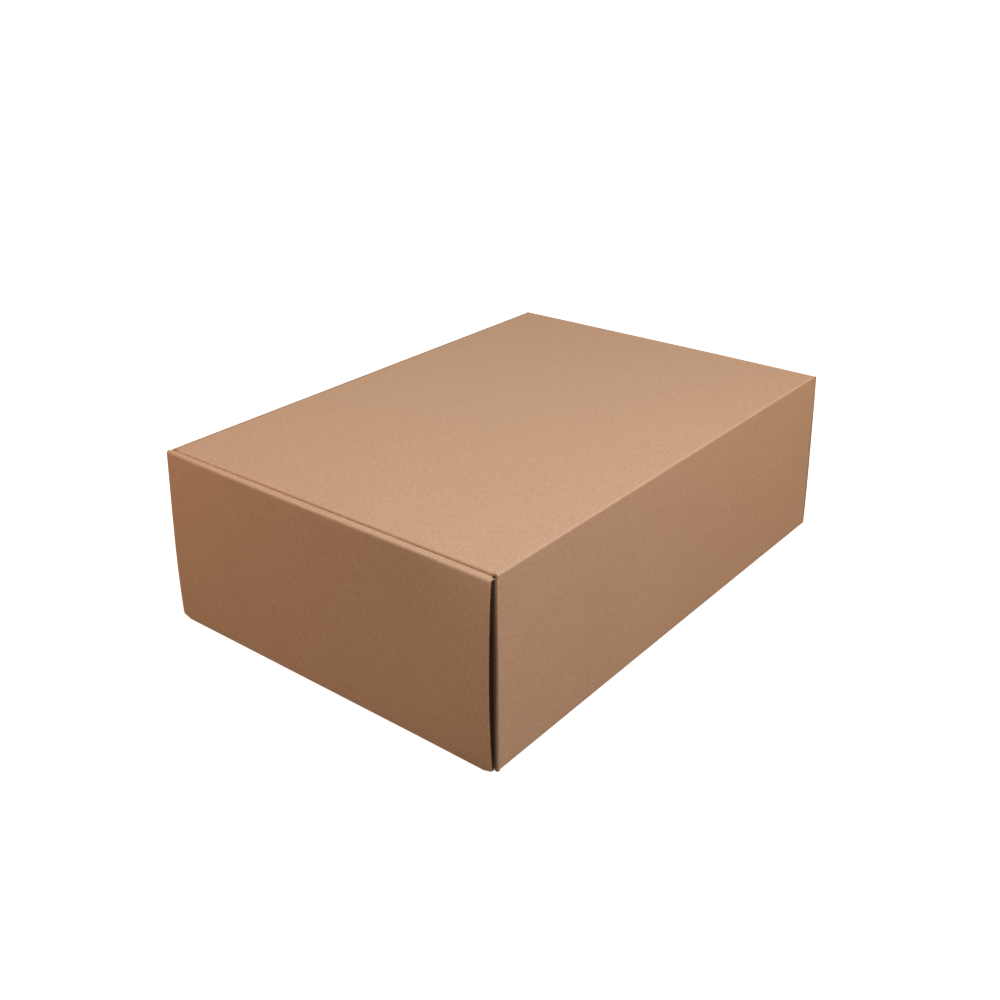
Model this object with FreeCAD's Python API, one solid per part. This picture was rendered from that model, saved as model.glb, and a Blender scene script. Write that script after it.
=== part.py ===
import FreeCAD, Part

import math
import os

from FreeCAD import Vector

# A closed mailer box folded from one die-cut sheet of fine-flute corrugated board. The length runs
# along X between the two rolled end walls, the width along Y from the front wall at -Y to the rear
# wall at +Y, and the origin is the middle of the underside. All sizes are in millimetres.

# Overall size of the closed box
length = 381.0
width = 267.5
height = 122.0

# The board and its folds
board = 1.6
fold_radius = 1.9        # outside radius of a fold along the walls
roll_fold_radius = 1.5   # outside radius of the two folds along the top of an end wall
crease_radius = 0.3      # least inside radius that a crushed fold keeps

# Rolled end walls: outer panel, trapped corner flaps, inner panel
flap_play = 0.35         # between the outer panel and the corner flaps
layer_gap = 0.15         # between other layers that lie on each other
roll_drop = 0.9          # how far the rolls' tops lie below the lid's skin
end_set_back = 0.6       # from the rear wall's skin to the outer panel's free edge
inner_set_back = 0.9     # from the rear wall's inner face to the inner panel's free edge

# Tabs of the inner panels and their slots in the base
tab_width = 42.0
tab_spacing = 130.0      # between the middles of an end's two tabs
tab_recess = 0.3         # the tabs' ends above the underside
slot_play = 0.3          # across a tab's faces
slot_end_play = 0.8      # past a tab's sides

# Corner flaps of the front and rear walls
corner_flap_length = 96.0
corner_flap_lift = 0.5   # their lower edges above the base

# Front wall
front_drop = 1.2         # its top edge below the lid's skin

# Lid
hinge_clearance = 0.3    # between the rear wall's top edge and the lid's rounded rear end
side_clearance = 0.6     # between the lid's side folds and the rolls
side_relief = 0.2        # the raw side edges behind the folds' skin
fold_relief = 0.5        # notch beside each dust flap's fold
tuck_clearance = 1.0     # between the front wall and the lid's front fold
tuck_depth = 58.0
tuck_lean = 6.0          # degrees that the tuck flap leans inward, so that it swings past the front wall
tuck_side_relief = 2.5   # from the lid's side folds to the tuck flap's sides
tuck_taper = 9.0         # how much each side narrows towards the lower edge
tuck_corner = 12.0
dust_depth = 58.0
dust_front_space = 14.0  # from the box's front skin to the dust flaps
dust_rear_space = 8.0    # from the box's rear skin to the dust flaps
dust_taper = 11.0
dust_corner = 8.0

# Places that follow from the sizes above
half_length = length / 2
half_width = width / 2
corner_flap_skin = half_length - board - flap_play
roll_width = board + flap_play + board + layer_gap + board
roll_inner_skin = half_length - roll_width
roll_middle = half_length - roll_width / 2
wall_end = corner_flap_skin - fold_radius
roll_top = height - roll_drop
rear_wall_top = height - board - hinge_clearance
front_wall_top = height - front_drop
corner_flap_foot = board + corner_flap_lift
corner_flap_top = roll_top - board - layer_gap
inner_panel_foot = board + layer_gap
lid_side_skin = roll_inner_skin - side_clearance
lid_front_skin = -half_width + board + tuck_clearance
tuck_fold_reach = fold_radius / math.tan(math.radians((90 - tuck_lean) / 2))


def unit(a, b):
    """Direction from point a to point b in the sheet's section."""
    span = math.hypot(b[0] - a[0], b[1] - a[1])
    return ((b[0] - a[0]) / span, (b[1] - a[1]) / span)


def rounded_wire(corners, to_space):
    """Closed wire through corners (u, v, radius), each rounded by its own radius."""
    pieces = []
    count = len(corners)
    for i in range(count):
        u, v, radius = corners[i]
        back = unit((u, v), corners[i - 1])
        ahead = unit((u, v), corners[(i + 1) % count])
        if radius <= 0:
            pieces.append(((u, v), None, (u, v)))
            continue
        half = math.acos(max(-1.0, min(1.0, back[0] * ahead[0] + back[1] * ahead[1]))) / 2
        reach = radius / math.tan(half)
        start = (u + back[0] * reach, v + back[1] * reach)
        end = (u + ahead[0] * reach, v + ahead[1] * reach)
        toward = unit((0, 0), (back[0] + ahead[0], back[1] + ahead[1]))
        apex = radius / math.sin(half) - radius
        pieces.append((start, (u + toward[0] * apex, v + toward[1] * apex), end))
    edges = []
    for i in range(count):
        start, apex, end = pieces[i]
        if apex:
            edges.append(Part.Arc(to_space(*start), to_space(*apex), to_space(*end)).toShape())
        a, b = to_space(*end), to_space(*pieces[(i + 1) % count][0])
        if a.distanceToPoint(b) > 1e-6:
            edges.append(Part.makeLine(a, b))
    return Part.Wire(edges)


def prism(corners, plane, start, end):
    """Solid with a rounded outline in plane XZ, YZ or XY, run along the third axis from start to end."""
    place = {
        "XZ": lambda u, v: Vector(u, start, v),
        "YZ": lambda u, v: Vector(start, u, v),
        "XY": lambda u, v: Vector(u, v, start),
    }[plane]
    run = {"XZ": Vector(0, 1, 0), "YZ": Vector(1, 0, 0), "XY": Vector(0, 0, 1)}[plane]
    return Part.Face(rounded_wire(corners, place)).extrude(run * (end - start))


def folded_board(skin, radius, plane, start, end, nose=0.0):
    """Board that follows its outside skin line, with the inside on the left and a fold at each turn."""
    inner = []
    for i, point in enumerate(skin):
        before = unit(skin[i - 1], point) if i else unit(point, skin[1])
        after = unit(point, skin[i + 1]) if i + 1 < len(skin) else before
        turn = before[0] * after[0] + before[1] * after[1]
        across = (-(before[1] + after[1]) / (1 + turn), (before[0] + after[0]) / (1 + turn))
        inner.append((point[0] + across[0] * board, point[1] + across[1] * board))
    inside_radius = max(radius - board, crease_radius)
    last = len(skin) - 1
    outline = [(*p, nose if i == 0 else (radius if i < last else 0.0)) for i, p in enumerate(skin)]
    back = [(*p, nose if i == 0 else (inside_radius if i < last else 0.0)) for i, p in enumerate(inner)]
    return prism(outline + back[::-1], plane, start, end)


def mirrored(shape, normal):
    """The shape's twin on the other side of the box's middle plane."""
    return shape.mirror(Vector(0, 0, 0), normal)


def with_twin(shape, normal):
    return [shape, mirrored(shape, normal)]


def joined(shapes):
    return shapes[0].fuse(shapes[1:]).removeSplitter()


def base_and_long_walls():
    """Front wall, base and rear wall: one strip with two folds."""
    skin = [
        (-half_width, front_wall_top),
        (-half_width, 0),
        (half_width, 0),
        (half_width, rear_wall_top),
    ]
    return folded_board(skin, fold_radius, "YZ", -wall_end, wall_end)


def corner_flaps():
    """Four flaps that turn in from the long walls and lie inside the rolled ends."""
    skin = [
        (corner_flap_skin, half_width - corner_flap_length),
        (corner_flap_skin, half_width),
        (wall_end, half_width),
    ]
    flap = folded_board(skin, fold_radius, "XY", corner_flap_foot, corner_flap_top)
    flaps = with_twin(flap, Vector(0, 1, 0))
    return flaps + [mirrored(f, Vector(1, 0, 0)) for f in flaps]


def end_roll():
    """End wall at +X: the outer panel rises from the base, and the inner one comes down again."""
    outer_reach = half_width - end_set_back
    rise = [(wall_end, 0), (half_length, 0), (half_length, roll_top / 2)]
    outer_foot = folded_board(rise, fold_radius, "XZ", -outer_reach, outer_reach)
    over = [(half_length, roll_top / 2), (half_length, roll_top), (roll_middle, roll_top)]
    outer_head = folded_board(over, roll_fold_radius, "XZ", -outer_reach, outer_reach)
    inner_reach = half_width - board - inner_set_back
    down = [
        (roll_middle, roll_top),
        (roll_inner_skin, roll_top),
        (roll_inner_skin, inner_panel_foot),
    ]
    inner_panel = folded_board(down, roll_fold_radius, "XZ", -inner_reach, inner_reach)
    return [outer_foot, outer_head, inner_panel]


def end_tabs():
    """Tabs of the inner panel at +X, which stand in the base's slots."""
    low = Vector(roll_inner_skin, tab_spacing / 2 - tab_width / 2, tab_recess)
    tab = Part.makeBox(board, tab_width, inner_panel_foot - tab_recess, low)
    return with_twin(tab, Vector(0, 1, 0))


def base_slots():
    """What the base loses at +X for the inner panel's tabs."""
    slot_length = tab_width + 2 * slot_end_play
    low = Vector(roll_inner_skin - slot_play, tab_spacing / 2 - slot_length / 2, 0)
    slot = Part.makeBox(board + 2 * slot_play, slot_length, board, low)
    return with_twin(slot, Vector(0, 1, 0))


def both_ends(shapes):
    return shapes + [mirrored(s, Vector(1, 0, 0)) for s in shapes]


def make_tray():
    """Base, four walls, trapped corner flaps and locking tabs: all one folded sheet."""
    sheet = joined([base_and_long_walls()] + corner_flaps() + both_ends(end_roll()))
    slotted = sheet.cut(both_ends(base_slots()))
    return joined([slotted] + both_ends(end_tabs()))


def lid_panel():
    """The top panel, rounded at its rear end about the hinge line."""
    skin = [(half_width, height), (lid_front_skin + tuck_fold_reach, height)]
    reach = lid_side_skin - side_relief
    plate = folded_board(skin, fold_radius, "YZ", -reach, reach, nose=board / 2)
    run = width - dust_front_space - dust_rear_space + 2 * fold_relief
    depth = roll_fold_radius
    low = Vector(lid_side_skin - depth, -half_width + dust_front_space - fold_relief, height - board)
    side_cut = Part.makeBox(depth, run, board, low)
    return plate.cut(with_twin(side_cut, Vector(1, 0, 0)))


def dust_flaps():
    """Side flaps that go down inside the rolls, tapered at both ends."""
    front = -half_width + dust_front_space
    rear = half_width - dust_rear_space
    foot = height - dust_depth
    skin = [
        (-lid_side_skin + roll_fold_radius, height),
        (-lid_side_skin, height),
        (-lid_side_skin, foot),
    ]
    flap = folded_board(skin, roll_fold_radius, "XZ", front, rear)
    outline = [
        (front, height, 0),
        (front, height - fold_radius, 0),
        (front + dust_taper, foot, dust_corner),
        (rear - dust_taper, foot, dust_corner),
        (rear, height - fold_radius, 0),
        (rear, height, 0),
    ]
    shaped = flap.common(prism(outline, "YZ", -half_length, 0))
    return with_twin(shaped, Vector(1, 0, 0))


def tuck_flap():
    """Front flap that goes down behind the front wall, leaning inward."""
    foot = height - tuck_depth
    lean = tuck_depth * math.tan(math.radians(tuck_lean))
    skin = [
        (lid_front_skin + tuck_fold_reach, height),
        (lid_front_skin, height),
        (lid_front_skin + lean, foot),
    ]
    reach = lid_side_skin - tuck_side_relief
    flap = folded_board(skin, fold_radius, "YZ", -reach, reach)
    low_reach = reach - tuck_taper
    shoulder = height - fold_radius
    cut_foot = foot - board * math.sin(math.radians(tuck_lean))
    outline = [
        (-reach, height, 0),
        (-reach, shoulder, 0),
        (-low_reach, cut_foot, tuck_corner),
        (low_reach, cut_foot, tuck_corner),
        (reach, shoulder, 0),
        (reach, height, 0),
    ]
    return flap.common(prism(outline, "XZ", -half_width, 0))


def make_lid():
    """Top panel with its dust flaps and tuck flap: all one folded sheet."""
    return joined([lid_panel(), tuck_flap()] + dust_flaps())


parts = {
    "tray": make_tray(),
    "lid": make_lid(),
}

os.makedirs("parts", exist_ok=True)
for name, shape in parts.items():
    solid = shape.Solids[0] if len(shape.Solids) == 1 else shape
    solid.exportStep(f"parts/{name}.step")
    box = solid.BoundBox
    print(
        name,
        "solids", len(shape.Solids),
        "valid", shape.isValid(),
        "volume cm3", round(shape.Volume / 1000, 1),
        "x", round(box.XMin, 2), round(box.XMax, 2),
        "y", round(box.YMin, 2), round(box.YMax, 2),
        "z", round(box.ZMin, 2), round(box.ZMax, 2),
    )
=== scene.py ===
"""Looks of a closed mailer box, folded from one sheet of kraft corrugated board.

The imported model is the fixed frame. Each piece here is drawn in millimetres on the frame's own
axes: the length along X between the rolled ends, the width along Y from the front wall to the
rear wall that carries the lid, and up along Z.
"""

import math
from bisect import bisect_right

import bmesh
import bpy
from bpy.props import FloatProperty, FloatVectorProperty, PointerProperty
from bpy.types import Operator, Panel, PropertyGroup
from mathutils import Matrix, Vector


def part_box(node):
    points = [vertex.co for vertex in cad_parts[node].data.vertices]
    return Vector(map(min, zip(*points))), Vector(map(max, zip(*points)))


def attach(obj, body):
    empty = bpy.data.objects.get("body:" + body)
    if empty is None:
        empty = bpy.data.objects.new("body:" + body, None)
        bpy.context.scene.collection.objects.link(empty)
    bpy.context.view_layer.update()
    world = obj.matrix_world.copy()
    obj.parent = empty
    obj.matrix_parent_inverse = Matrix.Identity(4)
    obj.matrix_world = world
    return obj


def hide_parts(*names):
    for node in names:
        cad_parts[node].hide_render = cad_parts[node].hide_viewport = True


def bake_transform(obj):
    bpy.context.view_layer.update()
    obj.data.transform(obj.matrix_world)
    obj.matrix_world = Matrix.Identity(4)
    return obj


bl_info = {
    "name": "Corrugated Mailer Box",
    "version": (1, 0, 0),
    "blender": (4, 5, 0),
    "location": "View3D > Sidebar > Mailer Box",
    "description": "Builds the board, the lid's crease and the studio of a folded mailer box",
    "category": "Add Mesh",
}

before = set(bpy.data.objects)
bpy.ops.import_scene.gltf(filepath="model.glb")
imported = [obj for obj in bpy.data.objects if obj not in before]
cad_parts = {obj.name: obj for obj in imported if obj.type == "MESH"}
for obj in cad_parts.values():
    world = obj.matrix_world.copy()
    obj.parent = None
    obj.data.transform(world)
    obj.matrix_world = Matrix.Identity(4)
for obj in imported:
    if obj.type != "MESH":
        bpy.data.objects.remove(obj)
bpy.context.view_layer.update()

MM = 0.001


def linear(hex_colour):
    """An sRGB hex colour as linear red, green and blue."""
    shares = [int(hex_colour[i : i + 2], 16) / 255 for i in (0, 2, 4)]
    return tuple(s / 12.92 if s <= 0.04045 else ((s + 0.055) / 1.055) ** 2.4 for s in shares)


def length(name, about, millimetres):
    """A length that a user may change, kept in metres and given here in millimetres."""
    return FloatProperty(
        name=name, description=about, default=millimetres * MM, subtype="DISTANCE", precision=4
    )


def colour(name, about, hex_colour):
    """A colour that a user may change, given here as sRGB hex."""
    return FloatVectorProperty(
        name=name, description=about, default=linear(hex_colour), subtype="COLOR", size=3, min=0, max=1
    )


def tint(name, about, shares):
    """A light's colour that a user may change, given here as shares of red, green and blue."""
    return FloatVectorProperty(
        name=name, description=about, default=shares, subtype="COLOR", size=3, min=0, max=1
    )


def power(name, about, watts):
    """A light's power that a user may change."""
    return FloatProperty(name=name, description=about, default=watts, min=0, unit="POWER")


class MailerBoardSettings(PropertyGroup):
    """The corrugated board and its kraft paper."""

    thickness: length("Board", "Thickness of the corrugated board", 1.6)
    liner: length("Liner", "Thickness of each flat paper, drawn a little full so that it shows", 0.3)
    medium: length("Medium", "Thickness of the wavy paper between the liners", 0.2)
    pitch: length("Flute pitch", "Distance from one flute to the next", 3.3)
    reach: length("Edge depth", "How deep the flutes are drawn behind a cut edge", 4.0)
    fold: length("Fold radius", "Outside radius of the folds along the walls", 1.9)
    roll_fold: length("Roll fold radius", "Outside radius of the folds along a rolled end's top", 1.5)
    flap_fold: length("Corner fold radius", "Outside radius of the upright folds at the corners", 2.0)
    crease_fold: length("Lid fold radius", "Outside radius of the lid's fold when it is closed", 1.2)
    paper_light: colour("Paper, light", "Lightest tone of the kraft liner", "DEB99A")
    paper_dark: colour("Paper, dark", "Darkest tone of the kraft liner", "B88F70")
    fleck: colour("Fleck", "Dark fibres in the kraft liner", "9C7453")
    # Paler paper over folds: partly stretched liner, partly a painted highlight
    burnish_and_highlight: colour("Fold paper", "Paper stretched over a fold", "E0BC9E")
    flute: colour("Flute paper", "The wavy paper between the liners", "94704F")
    # Colour painted on the paper deep in a corner's gap as shade
    gap: colour("Gap", "Paper deep in the gap at a corner", "3C1A08")


class MailerShapeSettings(PropertyGroup):
    """How the closed box departs from true planes."""

    near_bow: length("Near edge bow", "Bulge of an end wall's free edge beside the rear wall", 2.9)
    far_bow: length("Far edge bow", "Bulge of an end wall's free edge beside the front wall", 0.9)
    rear_pull: length("Roll pull, rear", "How far a roll's rear end is drawn inward", 0.9)
    front_pull: length("Roll pull, front", "How far a roll's front end is drawn inward", 1.5)
    roll_dip: length("Roll dip", "How much lower a roll's rear end is than its middle", 0.35)
    roll_rise: length("Roll rise", "How much higher a roll's front end is than its middle", 0.5)
    foot_rise: length("Foot rise", "How far the rear wall's foot is drawn up and in at its middle", 0.15)
    edge_lift: length("Edge lift", "How far an end wall's free edges stand off the floor", 1.7)
    crown: length("Lid crown", "Height of the lid panel's middle above its edges", 0.5)


class MailerStageSettings(PropertyGroup):
    """Studio light."""

    top_power: power("Top light", "Power of the soft light overhead", 2.8)
    sky_power: power("Sky light", "Power of the cool light over the rear edge", 3.5)
    rear_power: power("Rear light", "Power of the soft light beside the rear wall", 3.5)
    end_power: power("End light", "Power of the soft light beside the end wall", 3.5)
    far_power: power("Far light", "Power of the soft light on the two far sides", 3.0)
    fill: FloatProperty(
        name="Fill", description="Strength of the light from all round", default=0.14, min=0
    )
    top_colour: tint("Top light colour", "Colour of the light overhead", (0.85, 1.0, 0.93))
    sky_colour: tint("Sky light colour", "Colour of the light over the rear edge", (0.6, 0.7, 1.0))
    rear_colour: tint("Rear light colour", "Colour of the light beside the rear wall", (1.0, 0.7, 0.32))
    end_colour: tint("End light colour", "Colour of the light beside the end wall", (1.0, 0.62, 0.38))
    far_colour: tint("Far light colour", "Colour of the light on the two far sides", (1.0, 0.9, 0.78))
    fill_colour: tint("Fill colour", "Colour of the light from all round", (1.0, 0.86, 0.72))


def ramp(value, start, stop):
    """Zero up to start, one from stop on, and a soft turn between."""
    share = min(max((value - start) / (stop - start), 0.0), 1.0)
    return share * share * (3 - 2 * share)


class Sizes:
    """Places of the folds and edges in millimetres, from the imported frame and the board."""

    roll_width = 5.3  # over both panels of a rolled end
    flap_inset = 1.95  # from a rolled end's skin to the corner flaps behind it
    flap_length = 96.0
    flap_foot = 2.1  # lower edge of the corner flaps
    flap_drop = 1.75  # their upper edge below the roll's top
    slant_run = 7.0  # over which a near corner flap slants inward to its fold
    near_inset = 2.4  # how far inward that fold lies
    far_fold = 0.9  # outside radius of a far corner's fold
    base_play = 0.6  # from the base's ends to the inner panels
    outer_play = 0.6  # from the long walls' skins to the outer panels' free edges
    inner_play = 7.6  # to the inner panels' free edges
    roll_play = 2.6  # to the free edges of the roll between the two panels
    notch_inset = 2.7  # from a rolled end's skin to where outer and roll edges part
    panel_foot = 1.75  # lower edge of the inner panels between their tabs
    rear_drop = 2.4  # from the lid's skin to the foot of its crease
    front_drop = 1.3  # from the lid's skin to the front wall's top edge
    edge_relief = 0.3  # raw side edges of the lid past its folded flaps
    lid_front_inset = 2.6  # from the front wall's skin to the tuck flap's
    lid_rear_inset = 2.45  # from the rear wall's skin to the end of the crease
    dust_front_inset = 5.5  # from the front wall's skin to the dust flaps
    dust_rear_inset = 3.4  # from the rear wall's skin to the dust flaps

    def __init__(self, board):
        tray_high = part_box("tray")[1] / MM
        lid_low, lid_high = (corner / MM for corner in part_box("lid"))
        self.board = board.thickness / MM
        self.fold = board.fold / MM
        self.roll_fold = board.roll_fold / MM
        self.flap_fold = board.flap_fold / MM
        self.crease_fold = board.crease_fold / MM
        self.half_length = tray_high.x
        self.half_width = tray_high.y
        self.height = lid_high.z
        self.roll_top = tray_high.z
        self.roll_inner = self.half_length - self.roll_width
        self.notch = self.half_length - self.notch_inset
        self.flap_skin = self.half_length - self.flap_inset
        self.flap_slant = self.half_width - self.slant_run
        self.flap_top = self.roll_top - self.flap_drop
        self.near_mouth, self.near_wall_end = self.corner(self.near_inset, self.flap_fold)
        self.far_mouth, self.far_wall_end = self.corner(0.0, self.far_fold)
        self.base_end = self.roll_inner - self.base_play
        self.base_side = self.half_width - self.fold
        self.outer_reach = self.half_width - self.outer_play
        self.inner_reach = self.half_width - self.inner_play
        self.roll_reach = self.half_width - self.roll_play
        self.rear_top = self.height - self.rear_drop
        self.front_top = self.height - self.front_drop
        self.lid_side = lid_high.x
        self.lid_edge = self.lid_side + self.edge_relief
        self.lid_front = -self.half_width + self.lid_front_inset
        self.lid_rear = self.half_width - self.lid_rear_inset
        self.flaps_foot = lid_low.z
        self.dust_front = -self.half_width + self.dust_front_inset
        self.dust_rear = self.half_width - self.dust_rear_inset

    def corner(self, inset, radius):
        """Where an upright fold would come to a point, this far inside its flap, and where it ends."""
        opening = math.pi / 2 + math.atan2(inset, self.half_width - self.flap_slant)
        mouth = self.flap_skin - inset
        return mouth, mouth - radius / math.tan(opening / 2)


# How a fold is drawn, in millimetres and shares
FOLD_PIECES = 7
FOLD_REACH = 1.4  # flat board beside a fold that it still strains
SHORT_RUN = 3.5  # a flat run under this is strained all along
PRESSED = 0.15  # inside radius that is left where board is pressed in a fold
FOLD_EDGE = 0.35  # strain where a fold begins
LEAST_STEP = 1e-4
LIGHT_REACH = 75.0  # height over the floor below which the painted shade in a corner's gap grows lighter


class Band:
    """A band of board that follows a folded line in one plane and runs straight across it.

    The line is the board's outside skin, with the inside on its left. A corner with a radius is a
    fold, one without is a place where the band's sides change.
    """

    def __init__(self, corners, plane, sides, board, grain_along, bow=None, twin=(1, 1), step=9.0):
        self.plane = plane
        self.sides = sides
        self.board = board
        self.grain_along = grain_along
        self.bow = bow
        self.twin = twin
        # Past this the board's inside is painted with the gap's shade
        self.shade_painted_beyond = math.inf
        self.fold_share = 1.0
        self.stations = []
        self.trace(corners, step)

    def trace(self, corners, step):
        """Fills the stations: run, u, v, inward u, inward v, share of the full depth, fold."""
        ends = []
        for i, (u, v, radius) in enumerate(corners):
            here = Vector((u, v))
            if radius <= 0:
                ends.append((here, here, None))
                continue
            back = (Vector(corners[i - 1][:2]) - here).normalized()
            ahead = (Vector(corners[i + 1][:2]) - here).normalized()
            half = back.angle(ahead) / 2
            reach = radius / math.tan(half)
            centre = here + (back + ahead).normalized() * radius / math.sin(half)
            ends.append((here + back * reach, here + ahead * reach, (centre, radius)))
        for i, (entry, leave, arc) in enumerate(ends):
            if arc:
                self.add_fold(entry, leave, *arc)
            if i + 1 < len(ends):
                soft = FOLD_REACH if arc else 0.0
                soft_next = FOLD_REACH if ends[i + 1][2] else 0.0
                self.add_straight(leave, ends[i + 1][0], step, soft, soft_next)

    def add_station(self, place, inward, share, fold):
        """The next station, unless it lies on the last one."""
        run = 0.0
        if self.stations:
            last = self.stations[-1]
            gap = (place - Vector(last[1:3])).length
            if gap < LEAST_STEP:
                return
            run = last[0] + gap
        self.stations.append((run, place.x, place.y, inward.x, inward.y, share, fold))

    def add_straight(self, start, end, step, soft, soft_next):
        """A flat run, with a station where the strain of each fold beside it ends."""
        span = (end - start).length
        if span < LEAST_STEP:
            return
        ahead = (end - start) / span
        inward = Vector((-ahead.y, ahead.x))
        low, high = (soft, span - soft_next) if span > SHORT_RUN else (0.0, span)
        count = max(1, round((high - low) / step))
        cuts = {0.0, span} | {low + (high - low) * k / count for k in range(count + 1)}
        for cut in sorted(cuts):
            at_fold = (cut == 0.0 and soft > 0) or (cut == span and soft_next > 0)
            share, fold = (self.fold_share, FOLD_EDGE) if at_fold else (1.0, 0.0)
            self.add_station(start + ahead * cut, inward, share, fold)

    def add_fold(self, entry, leave, centre, radius):
        """A fold: the board is pressed thinner where its inside has no room."""
        self.fold_share = min(1.0, (radius - PRESSED) / self.board)
        first = (entry - centre).normalized()
        turn = first.angle_signed((leave - centre).normalized())
        for k in range(FOLD_PIECES + 1):
            out = first.copy()
            out.rotate(Matrix.Rotation(-turn * k / FOLD_PIECES, 2))
            fold = FOLD_EDGE + (1 - FOLD_EDGE) * math.sin(math.pi * k / FOLD_PIECES)
            self.add_station(centre + out * radius, -out, self.fold_share, fold)

    def shade(self, amount, low, high):
        """Marks the stations whose v lies between two limits for painted shade, as in a gap: their fold
        is below zero.
        """
        self.stations = [(*s[:6], -amount) if low < s[2] < high else s for s in self.stations]

    def fold_at(self, run, across, depth):
        """How strained the skin is here by a fold, or below zero how much painted shade it gets in a
        gap.
        """
        # The board's inside past the limit is painted with the full gap shade
        if depth > self.board / 2:
            return -1.0 if across > self.shade_painted_beyond else 0.0
        fold = self.at(run)[6]
        if fold >= 0:
            return fold
        # The painted shade is lighter near the floor, where more light reaches the gap's mouth
        return -abs(fold) ** (1 + 2 * ramp(across, LIGHT_REACH, 0))

    @property
    def total(self):
        return self.stations[-1][0]

    def between(self, run):
        """The two stations nearest to this run, and its share of the way between them."""
        i = bisect_right(self.stations, run, key=lambda station: station[0]) - 1
        i = min(max(i, 0), len(self.stations) - 2)
        a, b = self.stations[i], self.stations[i + 1]
        return a, b, (run - a[0]) / (b[0] - a[0])

    def at(self, run):
        """The station at this run."""
        a, b, share = self.between(run)
        return [p + (q - p) * share for p, q in zip(a, b)]

    def limits(self, run):
        """Where the band's two sides are at this run."""
        a, b, share = self.between(run)
        share = min(max(share, 0.0), 1.0)
        pairs = zip(self.sides(a[1], a[2]), self.sides(b[1], b[2]))
        return [p + (q - p) * share for p, q in pairs]

    def run_at(self, test):
        """Run of the first station whose place passes the test."""
        return next(s[0] for s in self.stations if test(s[1], s[2]))

    def point(self, run, across, depth):
        """Place of a point of the board, in millimetres on the frame's axes."""
        _, u, v, inward_u, inward_v, share, _ = self.at(run)
        u += inward_u * depth * share
        v += inward_v * depth * share
        place = {"XZ": (u, across, v), "YZ": (across, u, v), "XY": (u, v, across)}[self.plane]
        if self.bow:
            place = self.bow(*place)
        return place[0] * self.twin[0], place[1] * self.twin[1], place[2]

    def sheet_place(self, run, across, depth):
        """Place on the flat sheet in metres, along the grain and across it, and a side number."""
        side = (1.0 if depth > self.board / 2 else 0.0) + self.twin[0] * 0.3
        grain = (run, across) if self.grain_along else (across, run)
        return grain[0] * MM, grain[1] * MM, side


# Places of the two papers in a piece's list of materials
LINER, FLUTING = 0, 1


class Sheet:
    """Points and faces of one piece of board, with what its paper needs to know at each point."""

    def __init__(self):
        self.points = []
        self.faces = []
        self.papers = []
        self.places = []
        self.folds = []

    def add_point(self, band, run, across, depth):
        """Number of a new point, given its place on a band."""
        self.points.append(tuple(c * MM for c in band.point(run, across, depth)))
        self.places.append(band.sheet_place(run, across, depth))
        self.folds.append(band.fold_at(run, across, depth))
        return len(self.points) - 1

    def add_face(self, corners, paper=LINER):
        self.faces.append(corners)
        self.papers.append(paper)


def lay_board(sheet, band, board, columns, raw, void=None):
    """One closed skin of board along a band, with a groove between the liners at each raw edge."""
    liner = board.liner / MM
    least = 0.01
    last_row, last_column = len(band.stations) - 1, len(columns) - 1
    known = {}

    def side_of(i, j):
        low, high = band.sides(band.stations[i][1], band.stations[i][2])
        return low + (high - low) * columns[j]

    def recess(kind, i):
        return raw(kind, band.stations[i][1], band.stations[i][2])

    def vertex(i, j, layer):
        if (i, j, layer) not in known:
            run, across = band.stations[i][0], side_of(i, j)
            depth = (0.0, liner, liner, band.board - liner, band.board - liner, band.board)[layer]
            if layer in (2, 3):
                if i == 0:
                    run += max(recess("start", i), least)
                if i == last_row:
                    run -= max(recess("stop", i), least)
                if j == 0:
                    across += max(recess("low", i), least)
                if j == last_column:
                    across -= max(recess("high", i), least)
            known[i, j, layer] = sheet.add_point(band, run, across, depth)
        return known[i, j, layer]

    def filled(i, j):
        if not (0 <= i < last_row and 0 <= j < last_column):
            return False
        if void is None:
            return True
        a, b = band.stations[i], band.stations[i + 1]
        across = (side_of(i, j) + side_of(i, j + 1) + side_of(i + 1, j) + side_of(i + 1, j + 1)) / 4
        return not void((a[1] + b[1]) / 2, (a[2] + b[2]) / 2, across)

    rims = []
    for i in range(last_row):
        for j in range(last_column):
            if not filled(i, j):
                continue
            ring = [(i, j), (i + 1, j), (i + 1, j + 1), (i, j + 1)]
            sheet.add_face([vertex(*p, 0) for p in ring])
            sheet.add_face([vertex(*p, 5) for p in reversed(ring)])
            for a, b, beyond, kind in (
                ((i, j + 1), (i, j), (i - 1, j), "start"),
                ((i + 1, j), (i + 1, j + 1), (i + 1, j), "stop"),
                ((i, j), (i + 1, j), (i, j - 1), "low"),
                ((i + 1, j + 1), (i, j + 1), (i, j + 1), "high"),
            ):
                if filled(*beyond):
                    continue
                outer = not (0 <= beyond[0] < last_row and 0 <= beyond[1] < last_column)
                grooved = outer and max(recess(kind, a[0]), recess(kind, b[0])) > 0
                rims.append((a, b, grooved))
    in_groove = {p for a, b, grooved in rims if grooved for p in (a, b)}
    for a, b, grooved in rims:
        if grooved:
            for low, high in zip(range(5), range(1, 6)):
                sheet.add_face([vertex(*a, low), vertex(*b, low), vertex(*b, high), vertex(*a, high)])
            continue
        chain_b = [vertex(*b, n) for n in (1, 2, 3, 4)] if b in in_groove else []
        chain_a = [vertex(*a, n) for n in (4, 3, 2, 1)] if a in in_groove else []
        sheet.add_face([vertex(*a, 0), vertex(*b, 0), *chain_b, vertex(*b, 5), vertex(*a, 5), *chain_a])


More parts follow.
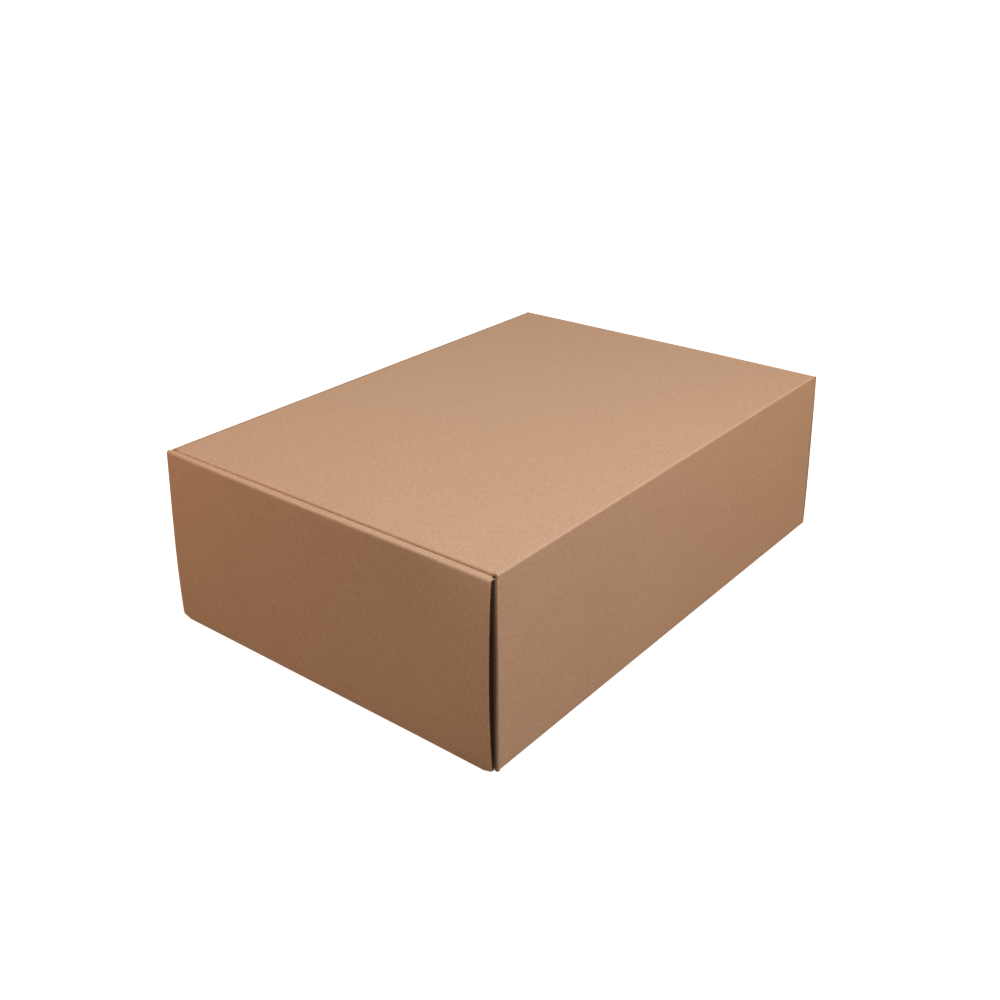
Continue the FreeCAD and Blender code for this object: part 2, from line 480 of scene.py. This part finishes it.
def lay_flutes(sheet, band, board, edge, first, last):
    """The wavy paper that shows between the liners along a cut edge, with 8 steps to a flute."""
    pitch, reach = board.pitch / MM, board.reach / MM
    set_back, overlap = 0.12, 0.3
    half = board.medium / MM / 2
    swing = (band.board - 2 * board.liner / MM) / 2 - half
    count = max(8, round((last - first) / pitch * 8))
    rows = []
    for k in range(count + 1):
        along = first + (last - first) * k / count
        turn = math.tau * along / pitch
        slope = swing * math.tau / pitch * math.cos(turn)
        lean = math.hypot(slope, 1)
        row = []
        for side in (1, -1):
            shift, depth = -slope / lean * half * side, half / lean * side
            depth += band.board / 2 + swing * math.sin(turn)
            for inset in (set_back, reach + overlap):
                if edge == "stop":
                    row.append(sheet.add_point(band, band.total - inset, along + shift, depth))
                else:
                    limit = band.limits(along)[edge == "high"]
                    across = limit - inset if edge == "high" else limit + inset
                    row.append(sheet.add_point(band, along + shift, across, depth))
        rows.append(row)
    for a, b in zip(rows, rows[1:]):
        for m, n in ((0, 1), (1, 3), (3, 2), (2, 0)):
            sheet.add_face([a[m], a[n], b[n], b[m]], FLUTING)
    for row in (rows[0], rows[-1]):
        sheet.add_face([row[0], row[1], row[3], row[2]], FLUTING)


def make_piece(name, sheet, papers, body=None, replaces=()):
    """One mesh object from a sheet, with smooth folds and sharp cut edges."""
    mesh = bpy.data.meshes.new(name)
    mesh.from_pydata(sheet.points, [], sheet.faces)
    mesh.polygons.foreach_set("material_index", sheet.papers)
    mesh.polygons.foreach_set("use_smooth", [True] * len(sheet.faces))
    place = mesh.attributes.new("sheet", "FLOAT_VECTOR", "POINT")
    place.data.foreach_set("vector", [c for p in sheet.places for c in p])
    # Below zero the fold attribute is the share of painted gap shade, above zero the fold's strain
    fold = mesh.attributes.new("fold", "FLOAT", "POINT")
    fold.data.foreach_set("value", sheet.folds)
    work = bmesh.new()
    work.from_mesh(mesh)
    bmesh.ops.recalc_face_normals(work, faces=work.faces)
    work.to_mesh(mesh)
    work.free()
    mesh.set_sharp_from_angle(angle=math.radians(32))
    for paper in papers:
        mesh.materials.append(paper)
    piece = bpy.data.objects.new(name, mesh)
    bpy.context.scene.collection.objects.link(piece)
    if body:
        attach(piece, body)
    if replaces:
        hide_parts(*replaces)
    return piece


def even_columns(width, step=11.0):
    """Shares of a band's width that part it into even columns of about this step."""
    count = max(2, round(width / step))
    return [k / count for k in range(count + 1)]


def columns_through(shares, count):
    """Even columns, with more at these shares of the band's half width on both sides."""
    marks = {(1 + side * share) / 2 for share in shares for side in (1, -1)}
    even = {k / count for k in range(count + 1)}
    kept = {column for column in even if all(abs(column - mark) > 0.01 for mark in marks)}
    return sorted(kept | marks | {0.0, 1.0})


def round_off(radius, above):
    """How much a rounded corner takes off a side, this far above the flap's foot."""
    return radius - math.sqrt(max(0.0, radius**2 - (radius - above) ** 2))


def add_node(tree, kind, inputs=None, **settings):
    """Adds a shader node with its settings, and fills or links its inputs."""
    made = tree.nodes.new(kind)
    for name, value in settings.items():
        setattr(made, name, value)
    for socket, value in (inputs or {}).items():
        if isinstance(value, bpy.types.NodeSocket):
            tree.links.new(value, made.inputs[socket])
        else:
            made.inputs[socket].default_value = value
    return made


def new_material(name):
    """An empty node material."""
    material = bpy.data.materials.new(name)
    material.use_nodes = True
    material.node_tree.nodes.clear()
    return material, material.node_tree


def paper_noise(tree, place, grain, across, detail, roughness=0.5):
    """Noise drawn on the flat sheet: spot sizes in millimetres along and across the grain."""
    scaled = add_node(
        tree,
        "ShaderNodeVectorMath",
        {0: place, 1: (1 / (grain * MM), 1 / (across * MM), 7.0)},
        operation="MULTIPLY",
    )
    made = add_node(
        tree,
        "ShaderNodeTexNoise",
        {"Vector": scaled.outputs[0], "Scale": 1.0, "Detail": detail, "Roughness": roughness},
    )
    return made.outputs["Factor"] if "Factor" in made.outputs else made.outputs["Fac"]


def maths(tree, operation, a, b=0.0, clamp=False):
    """The output of one sum on one or two values."""
    made = add_node(tree, "ShaderNodeMath", {0: a, 1: b}, operation=operation, use_clamp=clamp)
    return made.outputs[0]


def colour_mix(tree, factor, a, b):
    """The output of a mix from colour a to colour b."""
    mixed = add_node(tree, "ShaderNodeMix", {0: factor, 6: a, 7: b}, data_type="RGBA")
    return mixed.outputs[2]


def kraft_liner(name, board):
    """Unbleached kraft liner: matt paper, faintly streaked along its grain and flecked with fibres."""
    material, tree = new_material(name)
    place = add_node(tree, "ShaderNodeAttribute", attribute_name="sheet").outputs["Vector"]
    fold = add_node(tree, "ShaderNodeAttribute", attribute_name="fold").outputs["Fac"]
    # Fibres are 1 to 3 mm long and far thinner than a pixel, so their bundles are drawn instead
    streak = paper_noise(tree, place, 4.5, 0.8, 4.0, 0.6)
    grain = paper_noise(tree, place, 1.1, 0.7, 3.0, 0.65)
    cloud = paper_noise(tree, place, 70.0, 45.0, 2.0)
    speck = paper_noise(tree, place, 3.4, 1.1, 2.0)
    streak_share, grain_share, cloud_share = 1.1, 1.15, 0.2
    # Each noise is a half on the mean, and so is the tone
    excess = (streak_share + grain_share + cloud_share - 1) / 2
    tone = maths(tree, "MULTIPLY", streak, streak_share)
    tone = maths(tree, "ADD", tone, maths(tree, "MULTIPLY", grain, grain_share))
    tone = maths(tree, "ADD", tone, maths(tree, "MULTIPLY", cloud, cloud_share))
    tone = maths(tree, "SUBTRACT", tone, excess, clamp=True)
    paper = colour_mix(tree, tone, (*board.paper_dark, 1), (*board.paper_light, 1))
    flecks = add_node(
        tree,
        "ShaderNodeMapRange",
        {"Value": speck, "From Min": 0.69, "From Max": 0.80, "To Min": 0.0, "To Max": 0.22},
    )
    paper = colour_mix(tree, flecks.outputs[0], paper, (*board.fleck, 1))
    # Paper over a fold is coloured paler: partly wear of the liner stretched over it, partly a painted
    # highlight along the fold
    burnish_and_highlight_share = maths(tree, "MULTIPLY", fold, 0.35, clamp=True)
    paper = colour_mix(tree, burnish_and_highlight_share, paper, (*board.burnish_and_highlight, 1))
    # Painted shade: the paper in the narrow gap at a corner is coloured darker towards the gap colour,
    # since little light comes back out of it
    shadow = maths(tree, "MULTIPLY", fold, -0.95, clamp=True)
    paper = colour_mix(tree, shadow, paper, (*board.gap, 1))
    # The liners dip a few hundredths of a millimetre between the flutes
    along = add_node(tree, "ShaderNodeSeparateXYZ", {0: place}).outputs[0]
    wave = maths(tree, "SINE", maths(tree, "MULTIPLY", along, math.tau / board.pitch))
    height = maths(tree, "ADD", maths(tree, "MULTIPLY", wave, 0.20), maths(tree, "ADD", grain, streak))
    bump = add_node(tree, "ShaderNodeBump", {"Height": height, "Strength": 0.5, "Distance": 0.00006})
    rough = add_node(
        tree,
        "ShaderNodeMapRange",
        {"Value": cloud, "From Min": 0.3, "From Max": 0.7, "To Min": 0.78, "To Max": 0.88},
    )
    shader = add_node(
        tree,
        "ShaderNodeBsdfPrincipled",
        {
            "Base Color": paper,
            "Roughness": rough.outputs[0],
            "Normal": bump.outputs[0],
            "Specular IOR Level": 0.25,
        },
    )
    add_node(tree, "ShaderNodeOutputMaterial", {"Surface": shader.outputs[0]})
    return material


def flute_paper(name, board):
    """Fluting medium: thinner recycled paper, duller than the liners, seen only at cut edges."""
    material, tree = new_material(name)
    place = add_node(tree, "ShaderNodeAttribute", attribute_name="sheet").outputs["Vector"]
    grain = paper_noise(tree, place, 1.2, 0.8, 2.0)
    dark = tuple(0.6 * c for c in board.flute)
    paper = colour_mix(tree, grain, (*dark, 1), (*board.flute, 1))
    shader = add_node(
        tree,
        "ShaderNodeBsdfPrincipled",
        {"Base Color": paper, "Roughness": 0.92, "Specular IOR Level": 0.2},
    )
    add_node(tree, "ShaderNodeOutputMaterial", {"Surface": shader.outputs[0]})
    return material


def papers(board):
    """The two papers of the board, made once."""
    kinds = {"Kraft liner, machine finished": kraft_liner, "Fluting medium, corrugated": flute_paper}
    return [bpy.data.materials.get(name) or make(name, board) for name, make in kinds.items()]


class MAILER_OT_tray(Operator):
    """Build the base, the front and rear walls, the corner flaps and the rolled ends."""

    bl_idname = "mailer.tray"
    bl_label = "Tray"

    def execute(self, context):
        board = context.scene.mailer_board
        shape = context.scene.mailer_shape
        size = Sizes(board)
        sheet = Sheet()
        self.long_walls(sheet, board, shape, size)
        for end in (1, -1):
            self.rolled_end(sheet, board, shape, size, end)
            for side in (1, -1):
                self.corner_flap(sheet, board, size, end, side)
        make_piece("tray_board", sheet, papers(board), "tray", ["tray"])
        return {"FINISHED"}

    def long_walls(self, sheet, board, shape, size):
        """Front wall, base and rear wall."""
        flat = size.base_side
        front_groove = 0.25
        foot_width, foot_height = 30.0, 60.0
        turned_foot, end_play = 60.0, 0.5
        corners = [
            (-size.half_width, size.front_top, 0),
            (-size.half_width, 0, size.fold),
            (-flat + 0.01, 0, 0),
            (flat - 0.01, 0, 0),
            (size.half_width, 0, size.fold),
            (size.half_width, size.rear_top, 0),
        ]

        def sides(u, v):
            if v < 0.01 and abs(u) < flat - 0.005:
                return -size.base_end, size.base_end
            return -size.far_wall_end, size.near_wall_end

        def raw(kind, u, v):
            return front_groove if kind == "start" else 0.0

        rise = shape.foot_rise / MM

        def bow(x, y, z):
            share = 1 - (x / size.half_length) ** 2
            foot = ramp(y, size.half_width - foot_width, size.half_width) * ramp(z, foot_height, 0)
            return x, y - rise * share * foot, z + rise * share * foot

        band = Band(corners, "YZ", sides, size.board, False, bow)
        lay_board(sheet, band, board, even_columns(2 * size.near_wall_end), raw)
        # The front wall's flutes stand upright, so their wave shows along its top edge
        line = [(size.half_width, turned_foot, 0), (size.half_width, size.front_top, 0)]
        turned = Band(line, "YZ", sides, size.board, False, twin=(1, -1))
        first, last = end_play - size.far_wall_end, size.near_wall_end - end_play
        lay_flutes(sheet, turned, board, "stop", first, last)

    def rolled_end(self, sheet, board, shape, size, end):
        """Outer panel, roll and inner panel, with the tabs that stand in the base's slots."""
        slot_play = 0.3
        slot_in, slot_out = size.roll_inner - slot_play, size.roll_inner + size.board + slot_play
        tab_middle, tab_half, slot_half = 65.0, 21.0, 21.8
        tab_foot, void_top = 0.3, 0.01
        foot_corner, foot_cut = 4.0, 1.4
        # From the end's skin to the middle of the fold at its foot, the depth of the grooves that hardly
        # show, and how far behind the near corner's cut edge the board's inside is painted with shade
        base_bend, shallow_groove, painted_shade_depth = 0.9, 0.8, 2.0
        sheet_end = size.half_length - size.fold
        corners = [
            (size.base_end, 0, 0),
            (slot_in, 0, 0),
            (slot_out, 0, 0),
            (sheet_end - 0.01, 0, 0),
            (size.half_length, 0, size.fold),
            (size.half_length, size.roll_top, size.roll_fold),
            (size.notch + 0.1, size.roll_top, 0),
            (size.notch - 0.1, size.roll_top, 0),
            (size.roll_inner, size.roll_top, size.roll_fold),
            (size.roll_inner, size.panel_foot, 0),
            (size.roll_inner, tab_foot, 0),
        ]

        def sides(u, v):
            if v < void_top and u < sheet_end - 0.005:
                reach = size.base_side
            elif u <= size.notch:
                reach = size.inner_reach if v < size.roll_top - 1.7 else size.roll_reach
            else:
                reach = size.outer_reach
                if end > 0 and v < foot_corner:
                    reach -= foot_cut * (1 - v / foot_corner) ** 2
            return -reach, reach

        def raw(kind, u, v):
            if kind in ("start", "stop") or (v < 0.5 and u < size.half_length - base_bend):
                return 0.0
            deep = u > size.notch and (end > 0 or kind == "low")
            return board.reach / MM if deep else shallow_groove

        def void(u, v, across):
            offset = abs(abs(across) - tab_middle)
            if v < void_top and slot_in < u < slot_out:
                return offset < slot_half
            if u < size.roll_inner + 0.01 and v < size.panel_foot:
                return offset > tab_half
            return False

        marks = [(tab_middle + side * slot_half) / size.base_side for side in (-1, 1)]
        marks += [(tab_middle + side * tab_half) / size.inner_reach for side in (-1, 1)]
        columns = columns_through(marks, 48)
        # The end that the photograph doesn't show is bowed less and lies flat on the floor
        near = shape.near_bow / MM * (1.0 if end > 0 else 0.3)
        far = shape.far_bow / MM
        lift = shape.edge_lift / MM * (1.0 if end > 0 else 0.0)
        rear_pull, front_pull = shape.rear_pull / MM, shape.front_pull / MM
        rear_drop, front_rise = shape.roll_dip / MM, shape.roll_rise / MM

        def bow(x, y, z):
            """The free edges belly out between foot and top, and the roll's ends are drawn in."""
            rise = min(max(z / size.roll_top, 0.0), 1.0)
            aside = y / size.outer_reach
            to_rear, to_front = max(aside, 0.0) ** 2, max(-aside, 0.0) ** 2
            outer = ramp(x, size.notch - 0.8, size.notch + 0.8)
            belly = near * ramp(aside, 0.55, 1.0) + far * ramp(-aside, 0.45, 1.0)
            belly *= (4 * rise * (1 - rise)) ** 0.6
            pull = (rear_pull * to_rear + front_pull * to_front) * ramp(rise, 0.25, 1.0)
            x += outer * belly - pull * (0.08 + 0.92 * outer)
            z += (front_rise * to_front - rear_drop * to_rear) * ramp(rise, 0.5, 1.0)
            return x, y, z + lift * ramp(abs(aside), 0.955, 1.0) * ramp(rise, 0.125, 0.0)

        band = Band(corners, "XZ", sides, size.board, True, bow, (end, 1))
        if end > 0:
            # The board's inside behind the near corner's cut edge is painted with the gap's shade
            band.shade_painted_beyond = size.outer_reach - painted_shade_depth
        lay_board(sheet, band, board, columns, raw, void)
        first = band.run_at(lambda u, v: u > size.half_length - base_bend) + 0.6
        last = band.run_at(lambda u, v: v > size.roll_top - 0.01 and u < size.notch + 0.15)
        for edge in ("low", "high"):
            lay_flutes(sheet, band, board, edge, first, last)

    def corner_flap(self, sheet, board, size, end, side):
        """A flap behind an outer panel. Those at the near end slant inward to their fold."""
        near = end > 0
        near_foot, shallow_groove = 0.1, 0.8
        mouth = size.near_mouth if near else size.far_mouth
        wall_end = size.near_wall_end if near else size.far_wall_end
        corners = [
            (size.flap_skin, size.half_width - size.flap_length, 0),
            (size.flap_skin, size.flap_slant, 0),
            (mouth, size.half_width, size.flap_fold if near else size.far_fold),
            (wall_end, size.half_width, 0),
        ]

        def sides(u, v):
            beyond_base = near and v > size.base_side + 0.1
            return near_foot if beyond_base else size.flap_foot, size.flap_top

        def raw(kind, u, v):
            return {"start": 0.5, "stop": 0.0}.get(kind, shallow_groove)

        band = Band(corners, "XY", sides, size.board, True, twin=(end, side))
        if near:
            # Painted shade on the flap in the corner's gap: darkest behind the outer panel, and lighter
            # towards the long wall's skin
            limits = (size.slant_run + 0.1, 2.0, 0.9, 0.05)
            for amount, deep, shallow in zip((1.0, 0.8, 0.55), limits, limits[1:]):
                band.shade(amount, size.half_width - deep, size.half_width - shallow)
        lay_board(sheet, band, board, even_columns(size.flap_top), raw)


class MAILER_OT_lid(Operator):
    """Build the top panel, the side dust flaps and the front tuck flap."""

    bl_idname = "mailer.lid"
    bl_label = "Lid"

    def execute(self, context):
        board = context.scene.mailer_board
        shape = context.scene.mailer_shape
        size = Sizes(board)
        sheet = Sheet()
        self.panel_and_tuck(sheet, board, shape, size)
        for end in (1, -1):
            self.dust_flap(sheet, board, shape, size, end)
        make_piece("lid_board", sheet, papers(board), "lid", ["lid"])
        return {"FINISHED"}

    @staticmethod
    def crown(shape, size):
        """The lid rises a little in its middle, and widens a little towards its front."""
        height = shape.crown / MM
        front_spread = 0.1

        def bow(x, y, z):
            along, wide = x / size.lid_side, y / size.half_width
            lift = height * max(0.0, 1 - along * along) * max(0.0, 1 - wide * wide)
            spread = front_spread * ramp(-y, 30, 110) * ramp(z, 100, 122) * ramp(abs(along), 0, 0.5)
            return x + math.copysign(spread, x), y, z + lift * ramp(z, 118, 120)

        return bow

    def panel_and_tuck(self, sheet, board, shape, size):
        """The top panel, and the tuck flap that leans inward from its front fold."""
        notch, tuck_relief, taper, round_corner = 0.5, 2.5, 9.0, 12.0
        lean = math.radians(6.0)
        foot_groove, side_groove = 2.0, 0.5
        dust_front, dust_rear = size.dust_front - notch, size.dust_rear + notch
        tuck_depth = size.height - size.flaps_foot
        foot_y = size.lid_front + tuck_depth * math.tan(lean)
        shoulder = size.height - size.fold
        tuck_reach = size.lid_side - tuck_relief
        rows = (12.0, 9.0, 6.4, 4.2, 2.5, 1.2, 0.4, 0.08, 0.0)

        def down(drop):
            """Place on the leaning tuck flap's line, this far above its foot."""
            share = (tuck_depth - drop) / tuck_depth
            return size.lid_front + (foot_y - size.lid_front) * share, size.flaps_foot + drop, 0

        corners = [
            (size.lid_rear, size.height, 0),
            (dust_rear + 0.01, size.height, 0),
            (dust_rear, size.height, 0),
            (dust_front, size.height, 0),
            (dust_front - 0.01, size.height, 0),
            (size.lid_front, size.height, size.fold),
            *(down(row) for row in rows),
        ]

        def sides(u, v):
            if v > size.height - 0.6:
                in_flaps = dust_front - 0.005 < u < dust_rear + 0.005
                reach = size.lid_side - size.roll_fold if in_flaps else size.lid_edge
                return -reach, reach
            drop = min(max((shoulder - v) / (shoulder - size.flaps_foot), 0.0), 1.0)
            reach = tuck_reach - taper * drop
            above = v - size.flaps_foot
            if above < round_corner:
                reach -= round_off(round_corner, above)
            return -reach, reach

        def raw(kind, u, v):
            if kind == "stop":
                return foot_groove
            return 0.0 if kind == "start" or v > size.height - 0.1 else side_groove

        band = Band(corners, "YZ", sides, size.board, False, self.crown(shape, size))
        lay_board(sheet, band, board, even_columns(2 * size.lid_edge), raw)
        foot_reach = tuck_reach - taper - round_corner
        lay_flutes(sheet, band, board, "stop", -foot_reach, foot_reach)

    def dust_flap(self, sheet, board, shape, size, end):
        """A side flap, tapered at both ends with rounded corners."""
        round_corner, taper = 8.0, 11.0
        foot_groove, side_groove, past_fold = 0.5, 2.0, 2.6
        foot = size.flaps_foot
        rows = (8.0, 6.0, 4.2, 2.6, 1.4, 0.5, 0.1, 0.0)
        shoulder = size.height - size.fold
        corners = [
            (-size.lid_side + size.roll_fold, size.height, 0),
            (-size.lid_side, size.height, size.roll_fold),
            *((-size.lid_side, foot + row, 0) for row in rows),
        ]

        def sides(u, v):
            drop = min(max((shoulder - v) / (shoulder - foot), 0.0), 1.0)
            inset = taper * drop
            if v - foot < round_corner:
                inset += round_off(round_corner, v - foot)
            return size.dust_front + inset, size.dust_rear - inset

        def raw(kind, u, v):
            return {"start": 0.0, "stop": foot_groove}.get(kind, side_groove)

        band = Band(corners, "XZ", sides, size.board, True, self.crown(shape, size), (-end, 1))
        lay_board(sheet, band, board, even_columns(size.dust_rear - size.dust_front), raw)
        last = band.run_at(lambda u, v: v < foot + round_corner + 0.01)
        for edge in ("low", "high"):
            lay_flutes(sheet, band, board, edge, past_fold, last)


class MAILER_OT_crease(Operator):
    """Build the fold that joins the lid to the rear wall."""

    bl_idname = "mailer.crease"
    bl_label = "Lid crease"

    def execute(self, context):
        board = context.scene.mailer_board
        size = Sizes(board)
        sheet = Sheet()
        corners = [
            (size.half_width, size.rear_top, 0),
            (size.half_width, size.height, size.crease_fold),
            (size.lid_rear, size.height, 0),
        ]

        def sides(u, v):
            return -size.lid_edge, size.lid_edge

        def raw(kind, u, v):
            return 0.0

        band = Band(corners, "YZ", sides, size.board, False)
        lay_board(sheet, band, board, even_columns(2 * size.lid_edge), raw)
        piece = make_piece("lid_crease", sheet, papers(board))
        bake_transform(piece)
        return {"FINISHED"}


# Each soft light: its settings' first word, its place and its width, in metres
LIGHTS = (
    ("top", (0.35, 0.30, 0.9), 0.5),
    ("sky", (0.1, 0.6, 0.8), 0.5),
    ("rear", (-0.3, 0.9, 0.6), 0.4),
    ("end", (0.8, -0.6, 0.55), 0.4),
    ("far", (-0.8, -0.75, 0.26), 0.8),
)
LIGHT_AIM = Vector((0.0, 0.0, 0.06))
FLOOR_HALF = 6.0
# The floor's grey to the light, its white to the camera, and how it brightens away from the box
FLOOR_GREY = (0.22, 0.21, 0.20, 1)
FLOOR_WHITE = (0.85, 0.85, 0.85, 1)
FLOOR_GLOW = {"From Min": 0.22, "From Max": 0.7, "To Min": 0.8, "To Max": 1.0}


class MAILER_OT_stage(Operator):
    """Build the floor, the soft studio light and the camera."""

    bl_idname = "mailer.stage"
    bl_label = "Stage"

    def execute(self, context):
        stage = context.scene.mailer_stage
        self.floor()
        self.world(context, stage)
        for word, place, width in LIGHTS:
            self.soft_light(stage, word, Vector(place), width)
        self.camera(context)
        context.scene.view_settings.view_transform = "Standard"
        return {"FINISHED"}

    def floor(self):
        """A plain pale floor. The camera sees it white, and it keeps the box's shadow."""
        mesh = bpy.data.meshes.new("studio_floor")
        corners = ((-1, -1), (1, -1), (1, 1), (-1, 1))
        points = [(x * FLOOR_HALF, y * FLOOR_HALF, 0) for x, y in corners]
        mesh.from_pydata(points, [], [(0, 1, 2, 3)])
        material, tree = new_material("Studio floor, painted")
        seen = add_node(tree, "ShaderNodeLightPath").outputs["Is Camera Ray"]
        paint = add_node(tree, "ShaderNodeBsdfDiffuse", {"Color": FLOOR_GREY})
        white = add_node(tree, "ShaderNodeBsdfDiffuse", {"Color": FLOOR_WHITE})
        spot = add_node(tree, "ShaderNodeNewGeometry").outputs["Position"]
        away = add_node(tree, "ShaderNodeVectorMath", {0: spot}, operation="LENGTH").outputs["Value"]
        strength = add_node(tree, "ShaderNodeMapRange", {"Value": away, **FLOOR_GLOW}).outputs[0]
        glow = add_node(tree, "ShaderNodeEmission", {"Color": (1, 1, 1, 1), "Strength": strength})
        bright = add_node(tree, "ShaderNodeAddShader", {0: white.outputs[0], 1: glow.outputs[0]})
        paints = {0: seen, 1: paint.outputs[0], 2: bright.outputs[0]}
        both = add_node(tree, "ShaderNodeMixShader", paints)
        add_node(tree, "ShaderNodeOutputMaterial", {"Surface": both.outputs[0]})
        mesh.materials.append(material)
        floor = bpy.data.objects.new("studio_floor", mesh)
        bpy.context.scene.collection.objects.link(floor)

    def world(self, context, stage):
        """A white surround to the eye, and a weaker warm fill to the box."""
        world = bpy.data.worlds.new("Studio surround")
        world.use_nodes = True
        tree = world.node_tree
        tree.nodes.clear()
        path = add_node(tree, "ShaderNodeLightPath")
        seen = maths(tree, "MAXIMUM", path.outputs["Is Camera Ray"], path.outputs["Is Glossy Ray"])
        seen = maths(tree, "MAXIMUM", seen, path.outputs["Is Transmission Ray"])
        warm = {"Color": (*stage.fill_colour, 1), "Strength": stage.fill}
        fill = add_node(tree, "ShaderNodeBackground", warm)
        white = add_node(tree, "ShaderNodeBackground", {"Color": (1, 1, 1, 1), "Strength": 1.0})
        lights = {0: seen, 1: fill.outputs[0], 2: white.outputs[0]}
        both = add_node(tree, "ShaderNodeMixShader", lights)
        add_node(tree, "ShaderNodeOutputWorld", {"Surface": both.outputs[0]})
        context.scene.world = world

    def soft_light(self, stage, word, place, width):
        """A round soft light that faces the box."""
        name = f"{word.capitalize()} light"
        data = bpy.data.lights.new(name, "AREA")
        data.shape = "DISK"
        data.size = width
        data.energy = getattr(stage, f"{word}_power")
        data.color = getattr(stage, f"{word}_colour")
        lamp = bpy.data.objects.new(name, data)
        lamp.location = place
        lamp.rotation_euler = (LIGHT_AIM - place).to_track_quat("-Z", "Y").to_euler()
        bpy.context.scene.collection.objects.link(lamp)

    def camera(self, context):
        """The photograph's view: above the corner between an end wall and the rear wall."""
        place = Vector((0.60143, 0.47217, 0.42511))
        turn, tilt, roll = (math.radians(a) for a in (38.889, 21.731, -0.563))
        level = math.cos(tilt)
        ahead = -Vector((level * math.cos(turn), level * math.sin(turn), math.sin(tilt)))
        right = ahead.cross(Vector((0, 0, 1))).normalized()
        up = right.cross(ahead)
        across = math.cos(roll) * right + math.sin(roll) * up
        upward = -math.sin(roll) * right + math.cos(roll) * up
        data = bpy.data.cameras.new("Camera")
        data.sensor_width = 36.0
        data.lens = 43.233
        data.shift_x = 0.0
        data.shift_y = -0.088
        data.clip_start = 0.01
        camera = bpy.data.objects.new("Camera", data)
        facing = Matrix((across, upward, -ahead)).transposed().to_4x4()
        camera.matrix_world = Matrix.Translation(place) @ facing
        context.scene.collection.objects.link(camera)
        context.scene.camera = camera


class MAILER_PT_panel(Panel):
    """Lists the mailer box's operators and settings."""

    bl_idname = "MAILER_PT_panel"
    bl_label = "Mailer Box"
    bl_space_type = "VIEW_3D"
    bl_region_type = "UI"
    bl_category = "Mailer Box"

    def draw(self, context):
        column = self.layout.column()
        for operator in OPERATORS:
            column.operator(operator.bl_idname)
        for group in GROUPS:
            settings = getattr(context.scene, group)
            box = self.layout.box()
            for name in settings.__annotations__:
                box.prop(settings, name)


GROUPS = {
    "mailer_board": MailerBoardSettings,
    "mailer_shape": MailerShapeSettings,
    "mailer_stage": MailerStageSettings,
}
OPERATORS = (MAILER_OT_tray, MAILER_OT_lid, MAILER_OT_crease, MAILER_OT_stage)


def register():
    for group in GROUPS.values():
        bpy.utils.register_class(group)
    for name, group in GROUPS.items():
        setattr(bpy.types.Scene, name, PointerProperty(type=group))
    for operator in OPERATORS:
        bpy.utils.register_class(operator)
    bpy.utils.register_class(MAILER_PT_panel)


def unregister():
    bpy.utils.unregister_class(MAILER_PT_panel)
    for operator in reversed(OPERATORS):
        bpy.utils.unregister_class(operator)
    for name, group in reversed(GROUPS.items()):
        delattr(bpy.types.Scene, name)
        bpy.utils.unregister_class(group)


def main():
    """Builds all the pieces and the stage."""
    register()
    bpy.ops.mailer.tray()
    bpy.ops.mailer.lid()
    bpy.ops.mailer.crease()
    bpy.ops.mailer.stage()


if __name__ == "__main__":
    main()
